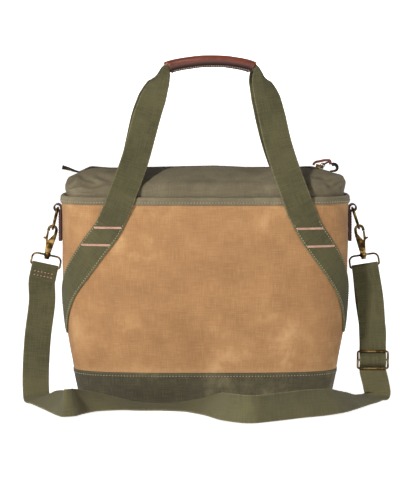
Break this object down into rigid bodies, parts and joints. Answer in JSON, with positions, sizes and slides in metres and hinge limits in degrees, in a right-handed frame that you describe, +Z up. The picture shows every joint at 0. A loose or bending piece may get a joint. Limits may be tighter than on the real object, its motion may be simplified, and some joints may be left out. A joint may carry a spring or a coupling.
{
  "type": "insulated tote bag",
  "caption": "Insulated waxed-canvas tote bag with a zipped collar, webbing handles in leather grips and a shoulder strap on swivel clasps.",
  "frame": {"origin": "middle of the base's flat underside, on the surface that the bag stands on", "axes": "+Z up, +X to the right of the bag's front, -Y out of the front face"},
  "size_m": [0.5158, 0.3583, 0.4835],
  "materials": {
    "tan_canvas": "waxed canvas, matt",
    "base_canvas": "waxed canvas, matt",
    "olive_canvas": "waxed canvas, matt",
    "webbing": "woven cotton webbing",
    "grip_leather": "smooth, glossy",
    "tab_leather": "smooth, satin",
    "zip": "dark woven tape",
    "antique_brass": "antique"
  },
  "bodies": {
    "bag": {"body_panel": "tan_canvas", "base_boot": "base_canvas", "rim_binding": "olive_canvas", "collar": "olive_canvas", "handle_front": "webbing", "handle_back": "webbing", "shoulder_strap": "webbing", "grip_front": "grip_leather", "grip_back": "grip_leather", "zip_pull": "grip_leather", "tab_left": "tab_leather", "tab_right": "tab_leather", "zip_tape": "zip", "zip_tail_left": "zip", "zip_tail_right": "zip", "zip_slider": "antique_brass", "zip_ring": "antique_brass", "d_ring_left": "antique_brass", "d_ring_right": "antique_brass", "clasp_left": "antique_brass", "clasp_right": "antique_brass", "loop_left": "antique_brass", "loop_right": "antique_brass", "strap_slider": "antique_brass"},
    "gate_left": {"gate_left": "antique_brass"},
    "gate_right": {"gate_right": "antique_brass"}
  },
  "joints": [
    {"name": "gate_left_swing", "type": "hinge", "parent": "bag", "child": "gate_left", "pos_m": [-0.22167, 0, 0.21908], "axis": [0, 1, 0], "range_deg": [0, 20], "stiffness_Nm_per_rad": 0.02, "springref_deg": -11.46},
    {"name": "gate_right_swing", "type": "hinge", "parent": "bag", "child": "gate_right", "pos_m": [0.22281, 0, 0.21908], "axis": [0, -1, 0], "range_deg": [0, 20], "stiffness_Nm_per_rad": 0.02, "springref_deg": -11.46}
  ]
}
